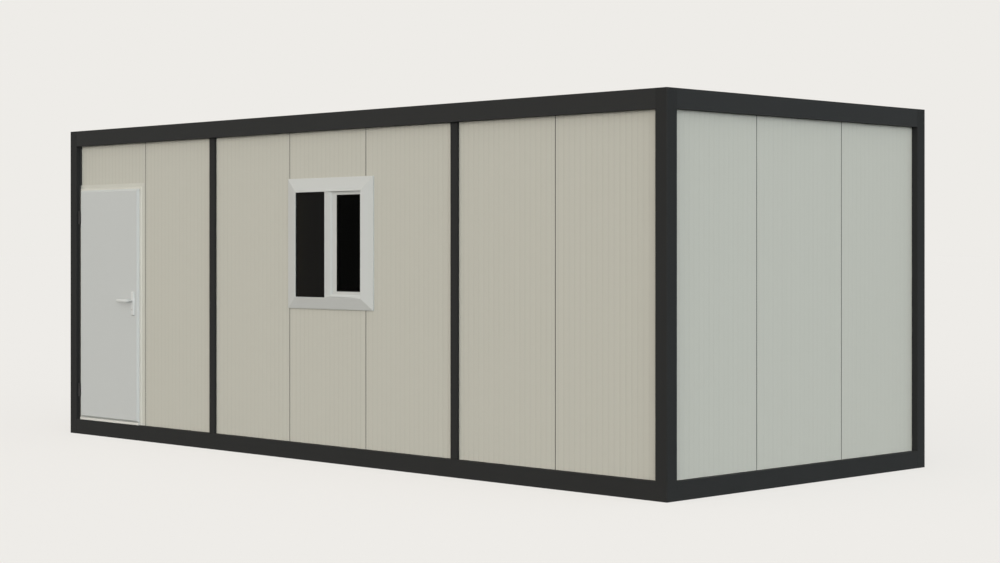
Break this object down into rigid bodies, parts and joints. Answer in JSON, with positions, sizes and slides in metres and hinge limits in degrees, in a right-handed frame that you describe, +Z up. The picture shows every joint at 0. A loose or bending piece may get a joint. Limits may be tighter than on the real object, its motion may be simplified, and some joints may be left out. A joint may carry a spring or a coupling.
{
  "type": "portable site cabin",
  "caption": "Steel-framed sandwich-panel site cabin with a hinged door that opens outwards and a sliding window beside it.",
  "frame": {"origin": "centre of the cabin's footprint, on the ground", "axes": "+X to the right along the long front side as seen from outside it, +Y from the front side with the door and window towards the back, +Z up"},
  "size_m": [7, 3.061, 2.7],
  "materials": {
    "frame_steel": "satin dark grey paint",
    "wall_panel": "matt pale stone-grey coil coating with shallow rolled lines",
    "ceiling_panel": "matt white coil coating",
    "floor_board": "film-faced board",
    "galvanised_steel": "galvanised",
    "door_skin": "smooth pale grey moulded skin",
    "door_frame_plastic": "smooth off-white extruded profile",
    "hinge_steel": "dark painted steel",
    "handle_plastic": "smooth white moulding",
    "lock_metal": "turned and brushed",
    "window_plastic": "smooth white extruded profile",
    "window_glass": "clear, dark inside"
  },
  "bodies": {
    "cabin": {"corner_post_front_left": "frame_steel", "corner_post_front_right": "frame_steel", "corner_post_back_left": "frame_steel", "corner_post_back_right": "frame_steel", "bottom_rail_front": "frame_steel", "bottom_rail_back": "frame_steel", "bottom_rail_left": "frame_steel", "bottom_rail_right": "frame_steel", "top_rail_front": "frame_steel", "top_rail_back": "frame_steel", "top_rail_left": "frame_steel", "top_rail_right": "frame_steel", "mid_posts_front": "frame_steel", "mid_posts_back": "frame_steel", "front_panel_over_door": "wall_panel", "front_panel_beside_door": "wall_panel", "front_panel_2": "wall_panel", "front_panel_3": "wall_panel", "front_panel_4": "wall_panel", "front_panel_5": "wall_panel", "front_panel_6": "wall_panel", "front_panel_7": "wall_panel", "back_panels": "wall_panel", "left_end_panels": "wall_panel", "right_end_panel_1": "wall_panel", "right_end_panel_2": "wall_panel", "right_end_panel_3": "wall_panel", "floor_joists": "galvanised_steel", "floor_deck": "floor_board", "floor_under_sheet": "galvanised_steel", "ceiling": "ceiling_panel", "roof_joists": "galvanised_steel", "roof_purlins": "galvanised_steel", "roof_sheet": "galvanised_steel", "door_frame": "door_frame_plastic", "door_hinges_frame": "hinge_steel", "window_architrave": "window_plastic", "window_frame": "window_plastic", "window_sash": "window_plastic", "window_glass": "window_glass"},
    "door": {"door_leaf": "door_skin", "door_hinges_leaf": "hinge_steel", "handle_plates": "handle_plastic", "lock_cylinder": "lock_metal"},
    "handle": {"lever_handle": "handle_plastic"}
  },
  "joints": [
    {"name": "door_hinge", "type": "hinge", "parent": "cabin", "child": "door", "pos_m": [-3.385, -1.48, 1.16], "axis": [0, 0, -1], "range_deg": [0, 90]},
    {"name": "lever_turn", "type": "hinge", "parent": "door", "child": "handle", "pos_m": [-2.537, -1.46, 1.201], "axis": [0, -1, 0], "range_deg": [0, 40], "stiffness_Nm_per_rad": 1.5, "springref_deg": -34.38}
  ]
}
